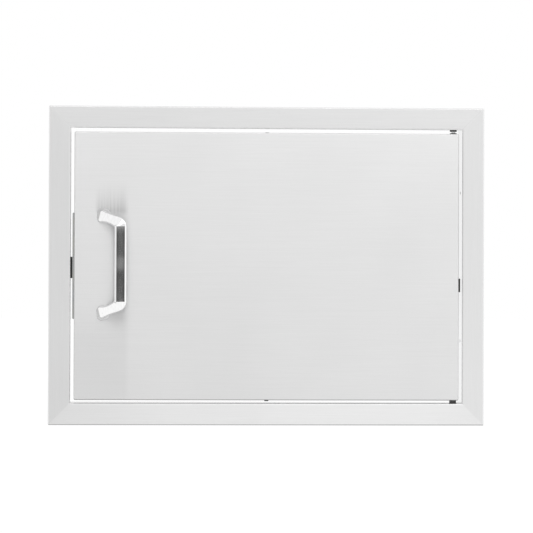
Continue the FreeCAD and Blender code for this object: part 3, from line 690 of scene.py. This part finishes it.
def make_plugs():
    """Snap-in caps over the handle screws: a domed flange and a hollow stem."""
    low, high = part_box("handle_access_plugs")
    flange, shoulder, stem, wall = mm(10), mm(3), mm(7.9), mm(1.2)
    taper, ceiling, edge_share = mm(0.5), mm(-0.1), 0.3
    rise = high.y - door_back
    depth = low.y - door_back
    edge = rise * edge_share
    middle = mean(low.z, high.z)
    reach = (high.z - low.z) / 2 - flange
    x = mean(low.x, high.x)
    outline = [(0, rise)] + quarter_dome((flange - shoulder, edge), shoulder, rise - edge, 1)
    outline += [(flange, 0), (stem, 0), (stem - taper, depth)]
    outline += [(stem - wall, depth), (stem - wall, ceiling), (0, ceiling)]
    seats = [Vector((x, door_back, middle + side * reach)) for side in (-1, 1)]
    plugs = [turned("snap_plug", outline, facing((0, 1, 0), seat), 64) for seat in seats]
    return join("screw_plugs", plugs)


def make_catch_screws():
    """Pan-head screws of the catch, with cross recesses."""
    low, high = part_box("magnet_catch_screws")
    head, rise, shank, pan_round = mm(2.8), mm(1.8), mm(1.45), mm(0.9)
    tip_length, tip = mm(1), mm(0.55)
    slot_size = (mm(3.4), mm(0.65), mm(2.2), 1)
    slot_turn = 0.3
    y = mean(low.y, high.y)
    middle = mean(low.z, high.z)
    reach = (high.z - low.z) / 2 - head
    length = high.x - low.x
    outline = [(0, 0)] + quarter_dome((head - pan_round, -pan_round), pan_round, pan_round)
    outline += [(head, -rise), (shank, -rise), (shank, tip_length - length)]
    outline += [(tip, -length), (0, -length)]
    screws = []
    for side in (-1, 1):
        screw = turned("catch_screw", outline, Matrix.Identity(4), 32)
        for turn in (slot_turn, slot_turn + math.pi / 2):
            start_piece()
            bpy.ops.mesh.primitive_cube_add(size=1)
            slot = bpy.context.object
            slot.data.transform(Matrix.Diagonal(slot_size))
            slot.data.transform(Matrix.Rotation(turn * side, 4, "Z"))
            cut_away(screw, slot)
        screw.data.transform(facing((1, 0, 0), Vector((high.x, y, middle + side * reach))))
        close_up(screw)
        screws.append(screw)
    return join("catch_screws", screws)


def make_catch_case():
    """Moulded case of the catch: rounded, open in front for the plates, with sunk screw seats."""
    low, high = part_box("magnet_catch_housing")
    screw_low, screw_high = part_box("magnet_catch_screws")
    pole_low, pole_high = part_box("magnet_catch_poles")
    past, cut_off, slack, corner = mm(1), mm(3), mm(0.05), mm(1.2)
    head, sunk, shank, screw_head = mm(2.9), mm(1.8), mm(1.55), mm(2.8)
    chamfer, through = mm(0.4), mm(20)
    recess_reach, recess_depth, recess_half = mm(5), mm(0.6), mm(1.5)
    # The block reaches into the jamb and is cut off there, so its back stays flat to the edge
    case = rounded_block("catch_case", low - Vector((cut_off, 0, 0)), high, corner, 4)
    behind_low = low - Vector((cut_off + past, past, past))
    behind_high = Vector((low.x, high.y + past, high.z + past))
    room = Vector((slack, 0, slack))
    pocket_low = Vector((pole_low.x, low.y - past, pole_low.z)) - room
    behind = rounded_block("behind_case", behind_low, behind_high)
    pocket = rounded_block("pocket", pocket_low, pole_high + room)
    cut_away(case, behind, pocket)
    x = mean(low.x, high.x)
    axis_y = mean(screw_low.y, screw_high.y)
    middle = mean(screw_low.z, screw_high.z)
    reach = (screw_high.z - screw_low.z) / 2 - screw_head
    sink = [(0, past), (head + chamfer, past), (head + chamfer, 0), (head, -chamfer)]
    sink += [(head, -sunk), (shank, -sunk), (shank, -through), (0, -through)]
    for side in (-1, 1):
        seat = Vector((high.x, axis_y, middle + side * reach))
        cut_away(case, turned("screw_seat", sink, facing((1, 0, 0), seat), 32))
        recess_low = Vector((x - recess_reach, low.y - past, seat.z - recess_half))
        recess_high = Vector((x + recess_reach, low.y + recess_depth, seat.z + recess_half))
        cut_away(case, rounded_block("mould_recess", recess_low, recess_high))
    close_up(case, 30)
    return case


def make_edge_pads():
    """Self-adhesive rubber pads on the door's top, bottom and hinge edges."""
    low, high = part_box("door_edge_pads")
    half_width, half_length, corner = mm(3), mm(10.5), mm(0.4)
    side_middle, side_thick, top_thick = mm(-28.8), mm(2.6), mm(0.9)
    side_front, side_back = door_front + mm(2.2), door_front + mm(10.2)
    top_low = Vector((-half_width, low.y, door_high.z))
    top_high = Vector((half_width, high.y, door_high.z + top_thick))
    bottom_low = Vector((-half_width, low.y, low.z))
    bottom_high = Vector((half_width, high.y, door_low.z))
    side_low = Vector((door_high.x, side_front, side_middle - half_length))
    side_high = Vector((door_high.x + side_thick, side_back, side_middle + half_length))
    places = ((top_low, top_high), (bottom_low, bottom_high), (side_low, side_high))
    pads = [rounded_block("edge_pad", *ends, corner) for ends in places]
    for pad in pads:
        close_up(pad, 30)
    return join("edge_pads", pads)


def make_weld_beads():
    """Beads up the four outside corners of the jamb, where the folded members meet."""
    pitch, across, along, outwards = mm(1.7), mm(1.8), mm(1.3), mm(0.5)
    # The hand that laid them swayed and turned a little on the way
    sway_size, sway_pace = mm(0.25), 2.4
    tilt_size, tilt_pace = 0.35, 1.7
    start_piece()
    bpy.ops.mesh.primitive_uv_sphere_add(segments=14, ring_count=8, radius=1)
    ripple = bpy.context.object
    ripple.data.transform(Matrix.Diagonal((across, along, across, 1)))
    corner_x = opening_half_width + FRAME_SHEET
    corner_z = opening_half_height + FRAME_SHEET
    first, last = flange_front + mm(5), jamb_back - mm(3)
    beads = []
    for side_x in (-1, 1):
        for side_z in (-1, 1):
            for step in range(int((last - first) / pitch)):
                bead = bpy.data.objects.new("weld_ripple", ripple.data.copy())
                bpy.context.scene.collection.objects.link(bead)
                sway = sway_size * math.sin(step * sway_pace + side_x)
                x = side_x * (corner_x + outwards) + sway
                seat = Vector((x, first + pitch * step, side_z * (corner_z + outwards)))
                tilt = Matrix.Rotation(tilt_size * math.sin(step * tilt_pace), 4, "Z")
                bead.data.transform(Matrix.Translation(seat) @ tilt)
                beads.append(bead)
    bpy.data.objects.remove(ripple)
    welds = join("corner_welds", beads)
    welds.data.shade_smooth()
    return welds


# Studio

ROOM_LEVEL = 0.86
RIGHT_GAIN = 0.32
LAMP_POWER = 3.4
FLAG_COVER = 0.9


def make_camera():
    """Camera a little left of the door and below its middle, rolled by the photograph's lean."""
    azimuth, elevation = math.radians(-3.15), math.radians(-0.8)
    distance, lean = 4.2, math.radians(0.2)
    picture_width, sensor = 0.8218, 36.0
    target = Vector((mm(-1.03), flange_front, mm(-0.85)))
    data = bpy.data.cameras.new("camera")
    data.sensor_width = sensor
    data.lens = distance * sensor / picture_width
    camera = bpy.data.objects.new("camera", data)
    bpy.context.scene.collection.objects.link(camera)
    level = Vector((math.sin(azimuth), -math.cos(azimuth), 0))
    towards = level * math.cos(elevation) + Vector((0, 0, math.sin(elevation)))
    camera.location = target + towards * distance
    aim = (target - camera.location).to_track_quat("-Z", "Y")
    camera.rotation_mode = "QUATERNION"
    roll = Matrix.Rotation(lean, 4, "Z").to_quaternion()
    camera.rotation_quaternion = aim @ roll
    bpy.context.scene.camera = camera


def white_seen(tree):
    """1 for rays from the camera, from metal and through glass, 0 for the others."""
    path = add_node(tree, "LightPath").outputs
    kinds = [path["Is Camera Ray"], path["Is Glossy Ray"]]
    seen = add_node(tree, "Math", kinds, operation="MAXIMUM")
    return add_node(tree, "Math", [seen, path["Is Transmission Ray"]], operation="MAXIMUM")


def make_world():
    """White tent: white behind and beside the door, a plainer room behind the camera."""
    room_until, tent_from = -0.72, -0.45
    right_from, right_full = -0.06, 0.3
    world = bpy.data.worlds.new("white_tent")
    bpy.context.scene.world = world
    world.use_nodes = True
    tree = world.node_tree
    tree.nodes.clear()
    way = add_node(tree, "SeparateXYZ", [add_node(tree, "TexCoord").outputs["Generated"]]).outputs
    tent = add_node(tree, "MapRange", [way[1], room_until, tent_from, 0.0, 1.0])
    limits = [way[0], right_from, right_full, 0.0, RIGHT_GAIN]
    right = add_node(tree, "MapRange", limits, interpolation_type="SMOOTHSTEP")
    room = add_node(tree, "Math", [ROOM_LEVEL, right], operation="ADD")
    level = add_node(tree, "Mix", {0: tent, 2: room, 3: 1.0})
    background = add_node(tree, "Background", {"Color": (1, 1, 1, 1), "Strength": level})
    feed(tree, tree.nodes.new("ShaderNodeOutputWorld"), {0: background})


def make_lamp():
    """Soft lamp above the free side of the door, which lightens its upper corner."""
    place, target = Vector((-0.1, -1.1, 0.9)), Vector((-0.1, 0, 0.1))
    data = bpy.data.lights.new("soft_lamp", "AREA")
    data.energy = LAMP_POWER
    data.shape = "RECTANGLE"
    data.size, data.size_y = 1.7, 0.6
    lamp = bpy.data.objects.new("soft_lamp", data)
    bpy.context.scene.collection.objects.link(lamp)
    lamp.location = place
    lamp.rotation_mode = "QUATERNION"
    lamp.rotation_quaternion = (target - place).to_track_quat("-Z", "Y")


def stage_material(name):
    """Empty material for the floor or a card, with its surface's output."""
    material = bpy.data.materials.new(name)
    material.use_nodes = True
    tree = material.node_tree
    tree.nodes.clear()
    return material, tree, tree.nodes.new("ShaderNodeOutputMaterial")


def make_floor():
    """Pale floor under the frame's lower edge, which keeps a faint shadow."""
    size, below = 60.0, mm(0.3)
    glow_level, glow_share = 1.06, 0.85
    bpy.ops.mesh.primitive_plane_add(size=size, location=(0, 0, bottom_rail_low.z - below))
    floor = bpy.context.object
    floor.name = "floor"
    material, tree, output = stage_material("white_painted_floor")
    paint = add_node(tree, "BsdfDiffuse", {"Color": linear("#f2f2f2")})
    glow = add_node(tree, "Emission", {"Color": (1, 1, 1, 1), "Strength": glow_level})
    share = add_node(tree, "Math", [white_seen(tree), glow_share], operation="MULTIPLY")
    feed(tree, output, {0: add_node(tree, "MixShader", [share, paint, glow])})
    dress(floor, material)


def reflection_card(name, corners, tone_of):
    """Upright card in front of the door, seen in reflections alone, with its tone and cover."""
    (left, low), (right, high), away = corners
    bpy.ops.mesh.primitive_plane_add(size=1)
    card = bpy.context.object
    card.name = name
    card.data.transform(Matrix.Diagonal((right - left, high - low, 1, 1)))
    card.data.transform(facing((0, 1, 0), Vector((mean(left, right), away, mean(low, high)))))
    material, tree, output = stage_material(name + "_cloth")
    tone, cover_share = tone_of(tree, add_node(tree, "TexCoord").outputs["Object"])
    glow = add_node(tree, "Emission", {"Color": tone, "Strength": 1.0})
    clear = add_node(tree, "BsdfTransparent")
    feed(tree, output, {0: add_node(tree, "MixShader", [cover_share, clear, glow])})
    dress(card, material)
    card.visible_camera = False
    card.visible_diffuse = False
    card.visible_shadow = False


def make_camera_hood():
    """Dark hood behind the camera: the flat front of the polished grip shows it as a dark band."""
    camera = bpy.context.scene.camera.location
    away = camera.y - mm(150)
    reach = (handle_low.y - away) / (handle_low.y - camera.y)
    middle = mean(handle_low.z, handle_high.z)
    past_grip, lens_rise, half_width = mm(6), mm(1.2), mm(130)

    def mirrored(place, eye):
        return place + (place - eye) * reach

    side = mirrored(handle_high.x - GRIP_WIDTH / 2, camera.x)
    low = mirrored(middle - GRIP_LENGTH / 2 - past_grip, camera.z)
    high = mirrored(middle + GRIP_LENGTH / 2 + past_grip, camera.z)
    lens = mirrored(middle + lens_rise, camera.z)

    def cloth(tree, place):
        folds = patches(tree, place, (mm(14), mm(14), mm(90)))
        tone = tinted(tree, folds, 1.0, linear("#565656"), linear("#7c7c7c"))
        axes = add_node(tree, "SeparateXYZ", [place])
        across, height = axes.outputs[0], axes.outputs[2]
        # Paler round the lens, darker away from the middle, pale again along the top
        from_lens = add_node(tree, "Math", [height, lens], operation="SUBTRACT")
        from_lens = add_node(tree, "Math", [from_lens], operation="ABSOLUTE")
        at_lens = add_node(tree, "MapRange", [from_lens, mm(15), mm(24), 1.0, 0.0])
        tone = add_node(tree, "MixRGB", [at_lens, tone, linear("#9a9a9a")])
        from_middle = add_node(tree, "Math", [across, side], operation="SUBTRACT")
        from_middle = add_node(tree, "Math", [from_middle], operation="ABSOLUTE")
        at_side = add_node(tree, "MapRange", [from_middle, mm(5), mm(10), 0.0, 0.6])
        tone = add_node(tree, "MixRGB", [at_side, tone, linear("#2c2c2c")])
        at_top = add_node(tree, "MapRange", [height, high - mm(24), high - mm(14), 0.0, 1.0])
        return add_node(tree, "MixRGB", [at_top, tone, linear("#969696")]), 1.0

    corners = ((side - half_width, low), (side + half_width, high), away)
    reflection_card("camera_hood", corners, cloth)


def make_low_flag():
    """Grey flag low on the left, which darkens the lower corner of the brushed sheet."""
    low_corner, high_corner, away = (-1.3, -0.95), (-0.24, -0.42), -0.7

    def cloth(tree, place):
        return linear("#4a4a4a"), FLAG_COVER

    reflection_card("low_flag", (low_corner, high_corner, away), cloth)


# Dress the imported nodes

frame_low = Vector((rail_low.x, flange_front, bottom_rail_low.z))
frame_high = Vector((rail_high.x, flange_front, rail_high.z))
opening_low = Vector((-opening_half_width, flange_front, -opening_half_height))
opening_high = Vector((opening_half_width, flange_front, opening_half_height))
frame_outlines = [(frame_low, frame_high), (opening_low, opening_high)]
door_outlines = [(door_low, door_high)]


def frame_finish(member, along, dark, light, **marks):
    """Brushed finish of one member of the face frame, with the grain along it."""
    name = "brushed_stainless_" + member
    return brushed_stainless(name, along, frame_outlines, dark, light, 0.335, 0.7, **marks)


# Painted shade on the bottom rail: dark in the gap, darker along its rims and its lower edge, and
# towards its ends
left_end, right_end = (rail_low.x, mm(190), 0.14), (rail_high.x, mm(-90), 0.06)
bottom_rail_shading = {
    "gap_side": "#8c8c8c",
    "edge": "#c8c8c8",
    "low_edge": bottom_rail_low.z,
    "dull_ends": (left_end, right_end),
}
# Painted shade towards the left stile's lower end
lower_end = (bottom_rail_low.z, mm(160), 0.07)
# Painted light and shade: the bottom rail is lighter and the top rail darker than the stiles, and
# the right stile lighter than the left
top_rail_finish = frame_finish("top_rail", 0, "#d5d5d5", "#dadada")
bottom_rail_finish = frame_finish("bottom_rail", 0, "#e6e6e6", "#ebebeb", **bottom_rail_shading)
left_stile_finish = frame_finish("left_stile", 2, "#dcdcdc", "#e1e1e1", dull_ends=(lower_end,))
right_stile_finish = frame_finish("right_stile", 2, "#e0e0e0", "#e5e5e5")

# Painted shade for the handle's dark reflection: up from the upper foot, a little down from the
# lower one, and broad shade below it
shade_left, shade_right = handle_low.x, handle_high.x - mm(1)
foot_top, foot_bottom = handle_high.z - mm(4), handle_low.z + mm(4)
shade_above_handle = {
    "left": shade_left,
    "right": shade_right,
    "start": foot_top - mm(8),
    "full": foot_top,
    "end": foot_top + mm(50),
    "thinnest": 0.4,
    "share": 0.55,
}
shade_below_handle = {
    "left": shade_left,
    "right": shade_right,
    "start": foot_bottom + mm(8),
    "full": foot_bottom,
    "end": foot_bottom - mm(26),
    "thinnest": 0.4,
    "share": 0.12,
}
broad_low_shade = {
    "left": door_low.x - mm(20),
    "right": shade_right + mm(2),
    "start": foot_bottom + mm(25),
    "full": foot_bottom - mm(30),
    "end": mm(-900),
    "thinnest": 1.0,
    "share": 0.09,
}
door_finish = brushed_stainless(
    "brushed_stainless_door",
    0,
    door_outlines,
    "#dcdcdc",
    "#e1e1e1",
    0.4,
    0.89,
    low_edge=door_low.z,
    shade_patches=(shade_above_handle, shade_below_handle, broad_low_shade),
)
weld_columns = (mm(-115), mm(115))
weld_pitch, first_weld = mm(82), mm(-1)
channel_welds = [(x, weld_pitch, first_weld) for x in weld_columns]
liner_finish = rolled_stainless("rolled_stainless_liner", channel_welds)
channel_finish = rolled_stainless("rolled_stainless_channel")
zinc_finish = zinc_plated_steel()
pin_finish = turned_steel()
wire_finish = drawn_spring_wire()
handle_finish = polished_stainless()
nylon_finish = moulded_plastic("moulded_black_nylon", "#161616", "#242424", 0.42, mm(0.35))
abs_finish = moulded_plastic("moulded_black_abs", "#121213", "#1f1f20", 0.36, mm(0.5))
rubber_finish = moulded_plastic("moulded_epdm_rubber", "#151515", "#262625", 0.68, mm(0.25))
ferrite_finish = ground_ferrite()

finishes = {
    "frame_rail_top": top_rail_finish,
    "frame_rail_bottom": bottom_rail_finish,
    "frame_stile_left": left_stile_finish,
    "frame_stile_right": right_stile_finish,
    "lower_pivot_pin": pin_finish,
    "lower_thrust_washer": nylon_finish,
    "upper_jamb_bushing": nylon_finish,
    "magnet_catch_housing": abs_finish,
    "magnet_catch_magnet": ferrite_finish,
    "magnet_catch_poles": zinc_finish,
    "magnet_catch_screws": zinc_finish,
    "door_outer_panel": door_finish,
    "door_inner_panel": liner_finish,
    "door_stiffener_handle_side": channel_finish,
    "door_stiffener_hinge_side": channel_finish,
    "upper_hinge_bracket": zinc_finish,
    "lower_hinge_bracket": zinc_finish,
    "upper_guide_bushing": nylon_finish,
    "lower_pivot_bushing": nylon_finish,
    "door_edge_pads": rubber_finish,
    "strike_plate": zinc_finish,
    "strike_plate_rivets": zinc_finish,
    "handle": handle_finish,
    "handle_backing_plate": zinc_finish,
    "handle_screws": zinc_finish,
    "handle_washers": zinc_finish,
    "handle_access_plugs": abs_finish,
    "upper_pivot_pin": pin_finish,
    "upper_pin_collar": pin_finish,
    "upper_pin_spring": wire_finish,
}
for name, finish in finishes.items():
    dress(nodes[name], finish)

finish_piece(make_handle(), "door", handle_finish, "polished_handle", "handle")
finish_piece(make_rivets(), "door", zinc_finish, "strike_steel", "strike_plate_rivets")
finish_piece(make_plugs(), "door", abs_finish, "black_plastic", "handle_access_plugs")
finish_piece(make_catch_screws(), "frame", zinc_finish, "zinc_plated", "magnet_catch_screws")
finish_piece(make_weld_beads(), "frame", weld_metal(), "brushed_frame")
finish_piece(make_catch_case(), "frame", abs_finish, "black_plastic", "magnet_catch_housing")
finish_piece(make_edge_pads(), "door", rubber_finish, "black_rubber", "door_edge_pads")

make_camera()
make_world()
make_lamp()
make_floor()
make_camera_hood()
make_low_flag()
bpy.context.scene.view_settings.view_transform = "Standard"
